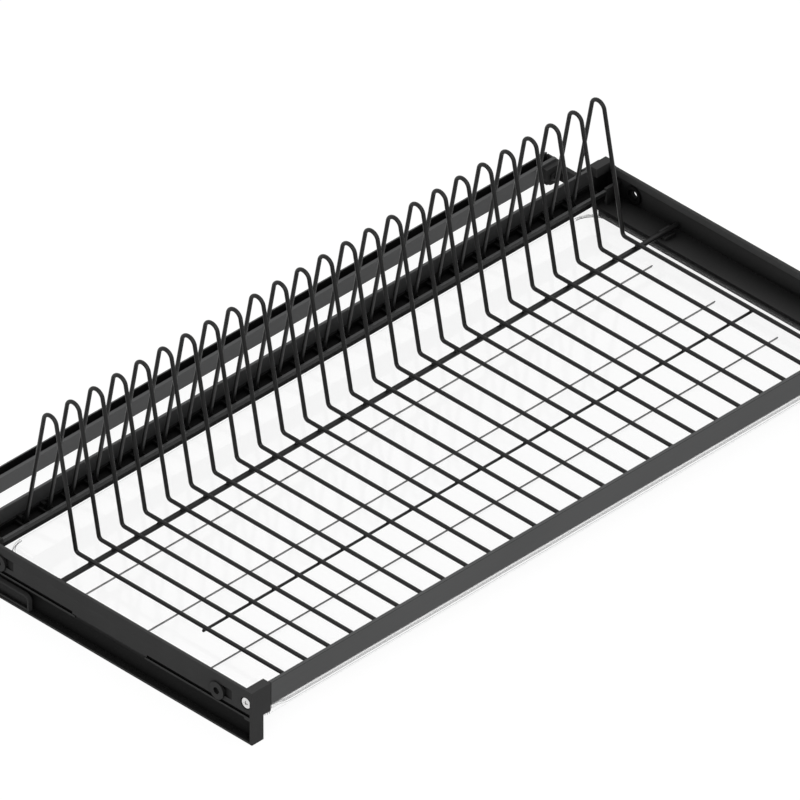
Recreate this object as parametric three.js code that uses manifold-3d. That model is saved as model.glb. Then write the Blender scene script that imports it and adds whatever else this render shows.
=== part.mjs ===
import * as THREE from 'three';
import { mergeVertices } from 'three/addons/utils/BufferGeometryUtils.js';
import Module from 'manifold-3d';

const wasm = await Module();
wasm.setup();

// A dish drainer that takes the place of a wall cabinet's bottom: two moulded side panels joined by
// extruded bars, a lift-out plate rack, a slide-out drip tray and a rear rail that slides in depth.
//
// Lengths are in millimetres. Pieces are drawn with X from the centre plane to the right, Y from the
// front plane to the rear and Z up from the surface that the side panels stand on. Side pieces are
// drawn for the left side, measured inwards from the panel's outer plane, and mirrored for the right.

const seatGap = 0.3;
const slideGap = 0.4;
const cutOver = 1;

const overall = { width: 564 };

const spacer = {
  standOff: 1, radius: 6.2, innerRise: 1.4, bore: 2.4, sinkRadius: 4.2, sinkDepth: 1.3,
  frontY: 30.2, rearInset: 26.8, rise: 7.2,
};

const panel = {
  depth: 249, height: 39.5, wall: 1.6, lipWidth: 2.2, lipHeight: 5,
  ledgeTop: 20, ledgeReach: 20, ledgeThick: 1.5, dripWidth: 1.2, dripDrop: 1,
  recess: 5, lowerWall: 1.6, footFlange: 1.5,
  runnerReach: 15, trayRoom: 3.9, runnerThick: 1.5, runnerStop: 5,
  slopeRise: 0.7, slopeFoot: 13, pocketLength: 61,
};

const slit = { height: 2.3, skin: 0.5, frontEnd: 92, rearLength: 87.4, rearMargin: 4, lip: 2, notch: 3.4 };

const pocket = { ramp: 6.5, below: 1.2, above: 5.8 };

const frontPost = {
  width: 16.6, depth: 6.7, trayGap: 0.8, legWidth: 10.2, plate: 2, chamfer: 1.6,
  screwSkin: 1.2, sideSkin: 0.5,
};

const rearPost = {
  width: 14.6, rise: 3.3, capDepth: 6.5, capHeight: 6.5, plate: 3.5, lipStep: 1.2,
};

const barScrew = {
  headRadius: 4, headHeight: 2.2, shankRadius: 1.7, length: 30,
  crossReach: 2.1, crossWidth: 0.9, crossDepth: 1.2,
  pocketPlay: 0.3, pocketDepth: 2.5, tubeWall: 3.3,
};

const frontBar = {
  face: 1.6, rise: 3, flangeReach: 2.7, flangeThick: 1.3,
  shelfReach: 15, shelfThick: 1.4, upstand: 2.5, upstandThick: 1.4,
  screwRise: 6.5, portWall: 1.2, portSlot: 1.8,
};

const rearBar = {
  topRise: 1.6, rise: 4, web: 2, floor: 1.2, troughWidth: 11.2,
  lipWall: 1.2, lipHeight: 7, lipHead: 2.3, lipHeadHeight: 2.7, screwRise: 8.5,
};

const rack = {
  wireRadius: 1.4, pitch: 20.1, sideRoom: 30, frontGap: 1.6,
  loopTop: 121.4, loopRadius: 5.6, footSpread: 22.64, bendRadius: 3,
  rodRadius: 1.8, rodInset: 67, rodEndGap: 0.6, crossRadius: 0.95, crossY: 81.9, crossOverhang: 1.2,
};

const socket = {
  floor: 1.1, back: 1.4, backHeight: 4, slotHalf: 2.4, cheek: 1.2, cheekHeight: 2.6, front: 1,
  tabGap: 2.7, tabWidth: 2.5, tabHeight: 5, footSeat: 3.54, footDrop: 0.4,
};

const cradle = { ribThick: 1.5, stepHeight: 2.2, padFront: 0.95, wallGap: 8, edgeGap: 3.4, play: 0.4 };

const tray = {
  sideRoom: 2, frontY: 4.7, cornerRadius: 14, slope: 10, wall: 1.5, floor: 1.5,
  depth: 7.2, flangeThick: 1.5, rearFlange: 4.2, flangeCorner: 6, beadWidth: 1.4, beadHeight: 0.8,
  lipFront: 0.2, lipThick: 1.5, lipHeight: 3.2,
  ribPitch: 55.2, ribWidth: 1.6, ribHeight: 0.8, ribCount: 3,
};

const rail = {
  height: 11.4, bottom: 10.6, standOff: 41.5, depth: 9.5, frontFlange: 2.5, rearFlange: 1,
  chamberWall: 1.2,
};

const arm = {
  inset: 0.3, thick: 3.2, overlap: 52.4, headRoom: 0.6, rim: 1.5, rimDepth: 2.2,
  noseRadius: 4.5, kneeGap: 3, riseRun: 9, top: 17.8, keel: 7, headReach: 14.5, headThick: 3.5,
  headTop: 20, headRadius: 5, shelf: 1.6, endPlate: 1.4, travel: 10,
};

const clampScrew = {
  headRadius: 3.4, headHeight: 1.2, shankRadius: 1.7, rearInset: 11, bossRadius: 4, bossRise: 2.6,
  crossReach: 1.9, crossWidth: 0.8, crossDepth: 0.7,
};

const railScrew = {
  headRadius: 2.7, headHeight: 1.8, shankRadius: 1.4, length: 10, inset: 9.5,
  crossReach: 1.6, crossWidth: 0.7, crossDepth: 1,
};

const roundSides = 20;
const screwSides = 12;
const wireSides = 8;
const loopSteps = 7;
const bendSteps = 2;
const cornerSteps = 6;

// Places that follow from the sizes above.

const outerPlane = -(overall.width / 2 - spacer.standOff);
const lowerWallInner = panel.recess + panel.lowerWall;
const ledgeBottom = panel.ledgeTop - panel.ledgeThick;
const runnerTop = ledgeBottom - panel.trayRoom;
const runnerStopY = panel.depth - panel.runnerStop;
const slopeTop = panel.ledgeTop + panel.slopeRise;
const pocketStart = panel.depth - panel.pocketLength;
const slitRearEnd = panel.depth - slit.rearMargin;
const slitRearStart = slitRearEnd - slit.rearLength;
const spacerZ = panel.ledgeTop + spacer.rise;
const spacerPlaces = [spacer.frontY, panel.depth - spacer.rearInset];

const portRadius = barScrew.shankRadius + seatGap;
const portOuter = portRadius + frontBar.portWall;
const frontBarBottom = panel.ledgeTop + frontBar.rise;
const frontScrewY = frontPost.screwSkin + barScrew.pocketPlay + barScrew.headRadius;
const frontScrewZ = frontBarBottom + frontBar.screwRise;
const rearBarBottom = panel.ledgeTop + rearBar.rise;
const rearBarTop = panel.height + rearBar.topRise;
const rearScrewY = panel.depth + portOuter + slideGap / 2;
const rearScrewZ = rearBarBottom + rearBar.screwRise;
const webRear = panel.depth;
const webFront = webRear - rearBar.web;
const troughFront = webFront - rearBar.troughWidth;
const troughFloor = rearBarBottom + rearBar.floor;
const lipFront = troughFront - rearBar.lipHead;
const lipTop = rearBarBottom + rearBar.lipHeight;

const wireFront = frontScrewY + portOuter + rack.frontGap;
const wireZ = frontBarBottom + frontBar.shelfThick + frontBar.upstand + seatGap + rack.wireRadius;
const rodY = panel.depth - rack.rodInset;
const rodZ = wireZ - rack.wireRadius - seatGap - rack.rodRadius;
const crossZ = wireZ - rack.wireRadius - seatGap - rack.crossRadius;
const wirePairs = Math.floor((-outerPlane - rack.sideRoom) / rack.pitch);
const wireCount = 2 * wirePairs + 1;
const socketFloorTop = troughFloor + seatGap + socket.floor;
const footY = troughFront + socket.footSeat;
const footZ = socketFloorTop + socket.footDrop;
const loopY = footY - rack.footSpread;
const loopZ = rack.loopTop - rack.loopRadius;
const loopToFoot = Math.hypot(rack.footSpread, loopZ - footZ);
const legLean = Math.atan2(rack.footSpread, loopZ - footZ) - Math.asin(rack.loopRadius / loopToFoot);

const trayInset = panel.ledgeReach + tray.sideRoom;
const trayRear = runnerStopY - slideGap * 2 - tray.rearFlange;
const trayFlangeBottom = runnerTop + seatGap;
const trayRim = trayFlangeBottom + tray.flangeThick;
const trayFloorTop = trayRim - tray.depth;

const railFront = panel.depth + rail.standOff;
const railRear = railFront + rail.depth;
const railTop = rail.bottom + rail.height;
const chamberHeight = 2 * (railScrew.shankRadius + seatGap + rail.chamberWall);
const railScrewZ = rail.bottom + chamberHeight / 2;
const armFront = panel.depth - arm.overlap;
const armKnee = panel.depth + arm.kneeGap;
const armBottom = panel.footFlange + slideGap;
const clampZ = armBottom + arm.rim + arm.headRoom + clampScrew.headRadius;
const armTopInRecess = clampZ + clampScrew.headRadius + arm.headRoom + arm.rim;
const clampY = panel.depth - clampScrew.rearInset;

// Boolean work

function toSolid(geometry) {
  const bare = geometry.clone();
  bare.deleteAttribute('normal');
  bare.deleteAttribute('uv');
  const merged = mergeVertices(bare);
  return new wasm.Manifold(new wasm.Mesh({
    numProp: 3,
    vertProperties: merged.attributes.position.array,
    triVerts: Uint32Array.from(merged.index.array),
  }));
}

function toGeometry(solid) {
  const mesh = solid.getMesh();
  const geometry = new THREE.BufferGeometry();
  geometry.setAttribute('position', new THREE.BufferAttribute(mesh.vertProperties, 3));
  geometry.setIndex(new THREE.BufferAttribute(mesh.triVerts, 1));
  const flat = geometry.toNonIndexed();
  flat.computeVertexNormals();
  return flat;
}

function join(geometries) {
  const solids = geometries.map(toSolid);
  return solids.reduce((sum, solid) => sum.add(solid));
}

function carve(body, cutters) {
  return toGeometry(body.subtract(join(cutters)));
}

// Extrusions: a section is a closed list of points, or a shape, in the plane across the extrusion.

function outline(points) {
  return new THREE.Shape(points.map(([a, b]) => new THREE.Vector2(a, b)));
}

function extrude(shape, from, to, basis) {
  const geometry = new THREE.ExtrudeGeometry(shape, {
    depth: to - from, bevelEnabled: false, steps: 1, curveSegments: cornerSteps,
  });
  geometry.translate(0, 0, from);
  geometry.applyMatrix4(basis);
  return geometry;
}

const axisX = new THREE.Vector3(1, 0, 0);
const axisY = new THREE.Vector3(0, 1, 0);
const axisZ = new THREE.Vector3(0, 0, 1);
const alongX = new THREE.Matrix4().makeBasis(axisY, axisZ, axisX);
const alongY = new THREE.Matrix4().makeBasis(axisX, axisZ, axisY.clone().negate());
const alongZ = new THREE.Matrix4();

const extrudeX = (shapeYZ, from, to) => extrude(shapeYZ, from, to, alongX);
const extrudeY = (shapeXZ, from, to) => extrude(shapeXZ, -to, -from, alongY);
const extrudeZ = (shapeXY, from, to) => extrude(shapeXY, from, to, alongZ);

function block(x, y, z) {
  const geometry = new THREE.BoxGeometry(x[1] - x[0], y[1] - y[0], z[1] - z[0]);
  return geometry.translate((x[0] + x[1]) / 2, (y[0] + y[1]) / 2, (z[0] + z[1]) / 2);
}

function roundX(radius, from, to, y, z) {
  const geometry = new THREE.CylinderGeometry(radius, radius, to - from, roundSides);
  return geometry.rotateZ(Math.PI / 2).translate((from + to) / 2, y, z);
}

function roundY(radius, from, to, x, z) {
  const geometry = new THREE.CylinderGeometry(radius, radius, to - from, roundSides);
  return geometry.translate(x, (from + to) / 2, z);
}

function mirrored(geometry) {
  const copy = mergeVertices(geometry.clone());
  copy.applyMatrix4(new THREE.Matrix4().makeScale(-1, 1, 1));
  const index = copy.index;
  for (let i = 0; i < index.count; i += 3) {
    const first = index.getX(i);
    index.setX(i, index.getX(i + 2));
    index.setX(i + 2, first);
  }
  const flat = copy.toNonIndexed();
  flat.computeVertexNormals();
  return flat;
}

// A corner of a closed outline, rounded: the arc about (a, b) from one angle to another, in degrees.
function arcPoints(a, b, radius, fromDegrees, toDegrees, steps) {
  return Array.from({ length: steps + 1 }, (_, i) => {
    const angle = THREE.MathUtils.degToRad(fromDegrees + (toDegrees - fromDegrees) * i / steps);
    return [a + radius * Math.cos(angle), b + radius * Math.sin(angle)];
  });
}

function roundedRectangle(left, right, front, rear, radius) {
  return [
    ...arcPoints(right - radius, rear - radius, radius, 0, 90, cornerSteps),
    ...arcPoints(left + radius, rear - radius, radius, 90, 180, cornerSteps),
    ...arcPoints(left + radius, front + radius, radius, 180, 270, cornerSteps),
    ...arcPoints(right - radius, front + radius, radius, 270, 360, cornerSteps),
  ];
}

// A closed body between level outlines that all have the same number of points.
function loft(levels) {
  const count = levels[0].points.length;
  const corners = levels.flatMap(({ points, z }) => points.flatMap(([x, y]) => [x, y, z]));
  const faces = [];
  for (let level = 0; level + 1 < levels.length; level += 1) {
    for (let i = 0; i < count; i += 1) {
      const here = level * count + i;
      const next = level * count + (i + 1) % count;
      faces.push(here, next, next + count, here, next + count, here + count);
    }
  }
  const ring = levels[0].points.map(([x, y]) => new THREE.Vector2(x, y));
  const top = (levels.length - 1) * count;
  for (const [a, b, c] of THREE.ShapeUtils.triangulateShape(ring, [])) {
    faces.push(c, b, a, top + a, top + b, top + c);
  }
  const geometry = new THREE.BufferGeometry();
  geometry.setAttribute('position', new THREE.Float32BufferAttribute(corners, 3));
  geometry.setIndex(faces);
  return geometry;
}

// Screws: a pan head with a cross recess on a plain shank, head up, the head's seat at zero.

function screwGeometry(size, length) {
  const { headRadius, headHeight, shankRadius } = size;
  const crownShares = [[1, 0], [1, 0.45], [0.86, 0.8], [0.55, 0.97], [0, 1]];
  const tipShare = 0.55;
  const profile = [
    new THREE.Vector2(0, -length),
    new THREE.Vector2(shankRadius * tipShare, -length),
    new THREE.Vector2(shankRadius, shankRadius - length),
    new THREE.Vector2(shankRadius, 0),
    ...crownShares.map(([across, up]) => new THREE.Vector2(headRadius * across, headHeight * up)),
  ];
  const turned = new THREE.LatheGeometry(profile, screwSides).rotateX(Math.PI / 2);
  const top = [headHeight - size.crossDepth, headHeight + cutOver];
  const long = [-size.crossReach, size.crossReach];
  const short = [-size.crossWidth / 2, size.crossWidth / 2];
  return carve(toSolid(turned), [block(long, short, top), block(short, long, top)]);
}

// Side panel

// The strip behind the pocket's start has a square recess, in which the rail arm slides. In front of
// it the recess falls back from the wall in a slope.
function panelStrip(recessTop, from, to) {
  const { height, lipWidth, lipHeight, wall, ledgeTop, ledgeReach } = panel;
  const dripBottom = ledgeBottom - panel.dripDrop;
  const dripFront = ledgeReach - panel.dripWidth;
  const section = [
    [0, height], ...recessTop, [panel.recess, panel.footFlange], [0, panel.footFlange], [0, 0],
    [lowerWallInner, 0], [lowerWallInner, ledgeBottom], [dripFront, ledgeBottom],
    [dripFront, dripBottom], [ledgeReach, dripBottom], [ledgeReach, ledgeTop], [wall, ledgeTop],
    [wall, height - lipHeight], [lipWidth, height - lipHeight], [lipWidth, height],
  ];
  return extrudeY(outline(section), from, to);
}

function panelStrips() {
  const { recess, depth, slopeFoot } = panel;
  return [
    panelStrip([[0, slopeTop], [recess, slopeFoot]], 0, pocketStart),
    panelStrip([[0, ledgeBottom], [recess, ledgeBottom]], pocketStart, depth),
  ];
}

function slitLips() {
  const across = [0, panel.wall];
  const tall = [ledgeBottom, panel.ledgeTop];
  return [
    block(across, [0, slit.frontEnd + slit.lip], tall),
    block(across, [slitRearStart - slit.lip, pocketStart], tall),
  ];
}

function trayRunner() {
  const { recess, lowerWall, runnerReach, runnerThick, depth } = panel;
  const across = [recess + lowerWall / 2, runnerReach];
  return [
    block(across, [frontPost.depth, depth], [runnerTop - runnerThick, runnerTop]),
    block(across, [runnerStopY, runnerStopY + runnerThick],
      [runnerTop - runnerThick / 2, ledgeBottom + panel.ledgeThick / 2]),
  ];
}

function frontPostParts() {
  const { width, depth, legWidth, plate, chamfer } = frontPost;
  const foot = trayRim + frontPost.trayGap;
  const side = [
    [0, panel.height], [0, foot + chamfer], [chamfer, foot], [depth, foot], [depth, panel.height],
  ];
  return [
    extrudeX(outline(side), 0, width),
    block([0, legWidth], [0, plate], [0, foot + chamfer]),
  ];
}

function rearPostParts() {
  const { width, rise, capDepth, capHeight, plate, lipStep } = rearPost;
  const capTop = panel.height + rise;
  const capFront = panel.depth - capDepth;
  const sweepStart = capFront - rise;
  const sweep = [
    ...arcPoints(sweepStart, capTop, rise, 270, 360, cornerSteps),
    [capFront + cutOver, capTop], [capFront + cutOver, panel.height - cutOver],
    [sweepStart, panel.height - cutOver],
  ];
  return [
    extrudeX(outline(sweep), 0, panel.lipWidth),
    block([0, width], [capFront, panel.depth], [capTop - capHeight, capTop]),
    block([0, width], [panel.depth - plate, panel.depth], [ledgeBottom, capTop - capHeight / 2]),
    block([0, width], [lipFront, troughFront], [ledgeBottom, lipTop + lipStep]),
  ];
}

function screwTube(y, z, reach) {
  return roundX(portRadius + barScrew.tubeWall, 0, reach, y, z);
}

function screwCuts(y, z, reach) {
  const { headRadius, pocketPlay, pocketDepth } = barScrew;
  const radius = headRadius + pocketPlay;
  const mouth = toSolid(roundX(radius, -cutOver, pocketDepth / 2, y, z));
  const edge = toSolid(block([-cutOver, pocketDepth], [0, frontPost.plate], [0, panel.height]));
  return [
    toGeometry(mouth.subtract(edge)),
    roundX(radius, frontPost.sideSkin, pocketDepth, y, z),
    roundX(portRadius, 0, reach + cutOver, y, z),
  ];
}

function slitCuts() {
  const tall = [panel.ledgeTop, panel.ledgeTop + slit.height];
  const through = [-cutOver, panel.wall - slit.skin];
  return [
    block(through, [frontPost.plate, slit.frontEnd], tall),
    block(through, [slitRearStart, slitRearEnd], tall),
    block(through, [slitRearStart - slit.lip - slit.notch, slitRearStart - slit.lip],
      [ledgeBottom, panel.ledgeTop]),
  ];
}

// The ledge's front corner gives way to the tray's front lip.
function lipNotch() {
  const rear = tray.lipFront + tray.lipThick + tray.wall + slideGap;
  return block([frontPost.width, panel.ledgeReach + cutOver], [-cutOver, rear],
    [ledgeBottom - panel.dripDrop - cutOver, panel.ledgeTop + cutOver]);
}

// In front of each boss the wall ramps down to it, which leaves a pocket beside the ring.
function spacerPockets() {
  const { ramp, below, above } = pocket;
  const deep = panel.wall - slit.skin;
  const tall = [spacerZ - below, spacerZ + above];
  const turn = Math.asin(deep / ramp);
  return spacerPlaces.flatMap((y) => [
    block([-cutOver, deep], [y - spacer.radius, y], tall),
    block([-ramp, 0], [-ramp - cutOver, 0], tall).rotateZ(-turn)
      .translate(deep, y - spacer.radius, 0),
  ]);
}

function spacerBosses() {
  const inner = panel.wall + spacer.innerRise;
  return spacerPlaces.map((y) => roundX(spacer.radius, -spacer.standOff, inner, y, spacerZ));
}

function spacerBores() {
  const inner = panel.wall + spacer.innerRise;
  return spacerPlaces.flatMap((y) => [
    roundX(spacer.bore, -spacer.standOff - cutOver, inner + cutOver, y, spacerZ),
    roundX(spacer.sinkRadius, inner - spacer.sinkDepth, inner + cutOver, y, spacerZ),
  ]);
}

// The rod's end lies on a pad, with a low step in front of it and a rib behind it.
function rodCradle() {
  const across = [cradle.wallGap, panel.ledgeReach - cradle.edgeGap];
  const foot = panel.ledgeTop - panel.ledgeThick / 2;
  const padFront = rodY - cradle.padFront;
  const padRear = rodY + rack.rodRadius + cradle.play;
  const padTop = rodZ - rack.rodRadius - seatGap;
  return [
    block(across, [padFront - cradle.ribThick, padFront], [foot, panel.ledgeTop + cradle.stepHeight]),
    block(across, [padFront, padRear], [foot, padTop]),
    block(across, [padRear, padRear + cradle.ribThick], [foot, rodZ]),
  ];
}

function clampBoss() {
  return roundX(clampScrew.bossRadius, panel.recess + panel.lowerWall / 2,
    lowerWallInner + clampScrew.bossRise, clampY, clampZ);
}

function sidePanel() {
  const shell = join([
    ...panelStrips(), ...slitLips(), ...trayRunner(), ...frontPostParts(), ...rearPostParts(),
    ...rodCradle(), clampBoss(),
    screwTube(frontScrewY, frontScrewZ, frontPost.width),
    screwTube(rearScrewY, rearScrewZ, rearPost.width),
  ]);
  const slitted = toSolid(carve(shell, [...slitCuts(), ...spacerPockets()]));
  const bossed = slitted.add(join(spacerBosses()));
  const clampHole = roundX(clampScrew.shankRadius + seatGap, panel.recess - cutOver,
    lowerWallInner + clampScrew.bossRise + cutOver, clampY, clampZ);
  return carve(bossed, [
    lipNotch(),
    ...spacerBores(),
    ...screwCuts(frontScrewY, frontScrewZ, frontPost.width),
    ...screwCuts(rearScrewY, rearScrewZ, rearPost.width),
    clampHole,
  ]).translate(outerPlane, 0, 0);
}

// Extruded bars

function screwPort(y, z) {
  const opening = Math.asin(frontBar.portSlot / 2 / portRadius);
  const ring = new THREE.Shape();
  ring.absarc(y, z, portOuter, opening, Math.PI * 2 - opening, false);
  ring.absarc(y, z, portRadius, Math.PI * 2 - opening, opening, true);
  return ring;
}

function portNeck(webFace, y, z) {
  const half = frontBar.portWall;
  return outline([
    [webFace - half / 2, z - half], [y - portRadius - half / 4, z - half],
    [y - portRadius - half / 4, z + half], [webFace - half / 2, z + half],
  ]);
}

function frontProfile() {
  const { face, flangeReach, flangeThick, shelfReach, shelfThick } = frontBar;
  const bottom = frontBarBottom;
  const reach = -outerPlane - frontPost.width - seatGap;
  const shelfTop = bottom + shelfThick;
  const section = [
    [0, bottom], [shelfReach, bottom], [shelfReach, shelfTop + frontBar.upstand],
    [shelfReach - frontBar.upstandThick, shelfTop + frontBar.upstand],
    [shelfReach - frontBar.upstandThick, shelfTop], [face, shelfTop],
    [face, panel.height - flangeThick], [flangeReach, panel.height - flangeThick],
    [flangeReach, panel.height], [0, panel.height],
  ];
  return toGeometry(join([
    extrudeX(outline(section), -reach, reach),
    extrudeX(screwPort(frontScrewY, frontScrewZ), -reach, reach),
    extrudeX(portNeck(face, frontScrewY, frontScrewZ), -reach, reach),
  ]));
}

function rearProfile() {
  const { lipWall, lipHeadHeight } = rearBar;
  const reach = -outerPlane - rearPost.width - seatGap;
  const wallFront = troughFront - lipWall;
  const section = [
    [wallFront, rearBarBottom], [webRear, rearBarBottom], [webRear, rearBarTop],
    [webFront, rearBarTop],
    [webFront, troughFloor], [troughFront, troughFloor], [troughFront, lipTop],
    [lipFront, lipTop], [lipFront, lipTop - lipHeadHeight], [wallFront, lipTop - lipHeadHeight],
  ];
  return toGeometry(join([
    extrudeX(outline(section), -reach, reach),
    extrudeX(screwPort(rearScrewY, rearScrewZ), -reach, reach),
    extrudeX(portNeck(webRear, rearScrewY, rearScrewZ), -reach, reach),
  ]));
}

function rearRail() {
  const { bottom, depth, frontFlange, rearFlange, chamberWall } = rail;
  const reach = -outerPlane - arm.inset - arm.endPlate - seatGap;
  const grooveFloor = bottom + chamberHeight;
  const section = outline([
    [railFront, bottom], [railRear, bottom], [railRear, railTop],
    [railRear - rearFlange, railTop], [railRear - rearFlange, grooveFloor],
    [railFront + frontFlange, grooveFloor], [railFront + frontFlange, railTop], [railFront, railTop],
  ]);
  const chamber = outline([
    [railFront + chamberWall, bottom + chamberWall],
    [railFront + chamberWall, grooveFloor - chamberWall],
    [railFront + depth - chamberWall, grooveFloor - chamberWall],
    [railFront + depth - chamberWall, bottom + chamberWall],
  ]);
  section.holes.push(chamber);
  const holeX = -outerPlane - railScrew.inset;
  const hole = (x) => roundY(railScrew.shankRadius + seatGap, railFront - cutOver,
    railFront + chamberWall * 2, x, railScrewZ);
  return carve(toSolid(extrudeX(section, -reach, reach)), [hole(-holeX), hole(holeX)]);
}

// Plate rack

class RingPath extends THREE.Curve {
  constructor(points) {
    super();
    this.points = points;
  }

  getPoint(t, target = new THREE.Vector3()) {
    const last = this.points.length - 1;
    const index = Math.min(Math.floor(t * last), last - 1);
    return target.lerpVectors(this.points[index], this.points[index + 1], t * last - index);
  }

  getUtoTmapping(u) {
    return u;
  }
}

function tube(points, radius) {
  const circle = Array.from({ length: wireSides }, (_, i) => {
    const angle = (i + 0.5) * Math.PI * 2 / wireSides;
    return [radius * Math.cos(angle), radius * Math.sin(angle)];
  });
  return new THREE.ExtrudeGeometry(outline(circle), {
    steps: points.length - 1, extrudePath: new RingPath(points), bevelEnabled: false,
  });
}

// The wire from its front end: a level run, a bend up, a round top and a leg down to its foot. Both
// legs are tangent to the round top and lean outwards from it.
function wirePath(x) {
  const { loopRadius, bendRadius } = rack;
  const legY = (z, way) => loopY
    + way * (loopRadius - (z - loopZ) * Math.sin(legLean)) / Math.cos(legLean);
  const turn = Math.PI / 2 - legLean;
  const bendY = legY(wireZ, -1) - bendRadius * Math.tan(turn / 2);
  const lean = THREE.MathUtils.radToDeg(legLean);
  const flat = [
    [wireFront, wireZ],
    ...arcPoints(bendY, wireZ + bendRadius, bendRadius, -90, -lean, bendSteps),
    ...arcPoints(loopY, loopZ, loopRadius, 180 - lean, lean, loopSteps),
    [footY, footZ],
  ];
  return flat.map(([y, z]) => new THREE.Vector3(x, y, z));
}

function wireX(i) {
  return (i - wirePairs) * rack.pitch;
}

function straightBar(halfLength, radius, y, z) {
  const ends = [-halfLength, halfLength].map((x) => new THREE.Vector3(x, y, z));
  return tube(ends, radius);
}

function supportRod() {
  const halfLength = -outerPlane - panel.lipWidth - rack.rodEndGap;
  return straightBar(halfLength, rack.rodRadius, rodY, rodZ);
}

function crossWire() {
  return straightBar(wireX(wireCount - 1) + rack.crossOverhang, rack.crossRadius, rack.crossY, crossZ);
}

// Socket strip

function socketStrip() {
  const { floor, back, backHeight, slotHalf, cheek, cheekHeight, front } = socket;
  const { tabGap, tabWidth, tabHeight } = socket;
  const bottom = troughFloor + seatGap;
  const rear = webFront - seatGap;
  const half = slotHalf + cheek;
  const reach = -outerPlane - rearPost.width - seatGap;
  const strip = outline([
    [troughFront + seatGap, bottom], [rear, bottom], [rear, bottom + floor + backHeight],
    [rear - back, bottom + floor + backHeight], [rear - back, socketFloorTop],
    [troughFront + seatGap, socketFloorTop],
  ]);
  const cheekFront = troughFront + seatGap + front;
  const tabFront = footY + tabGap;
  const sunk = socketFloorTop - floor / 2;
  const parts = [extrudeX(strip, -reach, reach)];
  for (let i = 0; i < wireCount; i += 1) {
    const x = wireX(i);
    const fork = outline([
      [x - half, cheekFront], [x - slotHalf, cheekFront], [x - slotHalf, tabFront],
      [x + slotHalf, tabFront], [x + slotHalf, cheekFront], [x + half, cheekFront],
      [x + half, rear - back / 2], [x - half, rear - back / 2],
    ]);
    parts.push(extrudeZ(fork, sunk, socketFloorTop + cheekHeight));
    parts.push(block([x - tabWidth / 2, x + tabWidth / 2], [tabFront, rear - back / 2],
      [sunk, socketFloorTop + tabHeight]));
  }
  return toGeometry(join(parts));
}

// Drip tray

function trayOutline(inset, z) {
  const half = -outerPlane - trayInset - inset;
  const radius = Math.max(tray.cornerRadius - inset, tray.wall);
  return {
    points: roundedRectangle(-half, half, tray.frontY + inset, trayRear - inset, radius), z,
  };
}

function dripTray() {
  const { wall, slope, floor, frontY, beadWidth, beadHeight, flangeCorner } = tray;
  const floorBottom = trayFloorTop - floor;
  const beadTop = trayRim + beadHeight;
  const flangeHalf = -outerPlane - frontPost.legWidth - slideGap * 2;
  const flangeFront = tray.lipFront + tray.lipThick;
  const lipHalf = -outerPlane - frontPost.width - slideGap * 2;
  const frontLipTop = frontBarBottom - slideGap;
  const frontLipBottom = frontLipTop - tray.lipHeight;
  const lip = outline([
    [tray.lipFront, frontLipBottom], [flangeFront, frontLipBottom], [flangeFront, trayFlangeBottom],
    [flangeFront + wall, trayFlangeBottom], [flangeFront + wall, frontLipTop],
    [tray.lipFront, frontLipTop],
  ]);
  const flange = outline(roundedRectangle(-flangeHalf, flangeHalf, flangeFront,
    trayRear + tray.rearFlange, flangeCorner));
  const outer = join([
    loft([trayOutline(slope - wall, floorBottom), trayOutline(-wall, trayFlangeBottom),
      trayOutline(-wall, trayRim)]),
    extrudeZ(flange, trayFlangeBottom, trayRim),
    loft([trayOutline(-beadWidth, trayRim - tray.flangeThick / 2), trayOutline(-beadWidth, beadTop)]),
    extrudeX(lip, -lipHalf, lipHalf),
  ]);
  const cavity = loft([trayOutline(slope, trayFloorTop), trayOutline(0, trayRim),
    trayOutline(0, beadTop + cutOver)]);
  const ribHalf = -outerPlane - trayInset - slope + tray.ribWidth;
  const middle = (frontY + trayRear) / 2;
  const ribs = Array.from({ length: tray.ribCount }, (_, i) => {
    const y = middle + (i - (tray.ribCount - 1) / 2) * tray.ribPitch;
    return block([-ribHalf, ribHalf], [y - tray.ribWidth / 2, y + tray.ribWidth / 2],
      [trayFloorTop - floor / 2, trayFloorTop + tray.ribHeight]);
  });
  return toGeometry(toSolid(carve(outer, [cavity])).add(join(ribs)));
}

// Rail arm: a rimmed plate that runs in the panel's recess, and a head that cradles the rail's end.

function armOutline(shrink) {
  const { noseRadius, riseRun, top, keel } = arm;
  const front = armFront + shrink;
  const rear = railFront - seatGap - shrink;
  const radius = noseRadius - shrink;
  const corner = armTopInRecess - shrink - radius;
  return outline([
    [front, armBottom + shrink], [armKnee, armBottom + shrink], [armKnee + riseRun, keel + shrink],
    [rear, keel + shrink], [rear, top - shrink], [armKnee + riseRun, top - shrink],
    [armKnee, armTopInRecess - shrink],
    ...arcPoints(front + radius, corner, radius, 90, 180, cornerSteps),
  ]);
}

function armHead() {
  const { inset, headReach, headThick, headTop, headRadius, keel, shelf, endPlate } = arm;
  const front = railFront - seatGap - headThick;
  const rear = railRear - seatGap;
  const plate = outline([
    [inset, keel], ...arcPoints(headReach - headRadius, keel + headRadius, headRadius, 270, 360,
      cornerSteps), [headReach, headTop], [inset, headTop],
  ]);
  const shelfTop = rail.bottom - seatGap;
  return [
    extrudeY(plate, front, railFront - seatGap),
    block([inset, headReach], [front, rear], [shelfTop - shelf, shelfTop]),
    block([inset, inset + endPlate], [front, rear], [keel, headTop]),
  ];
}

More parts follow.
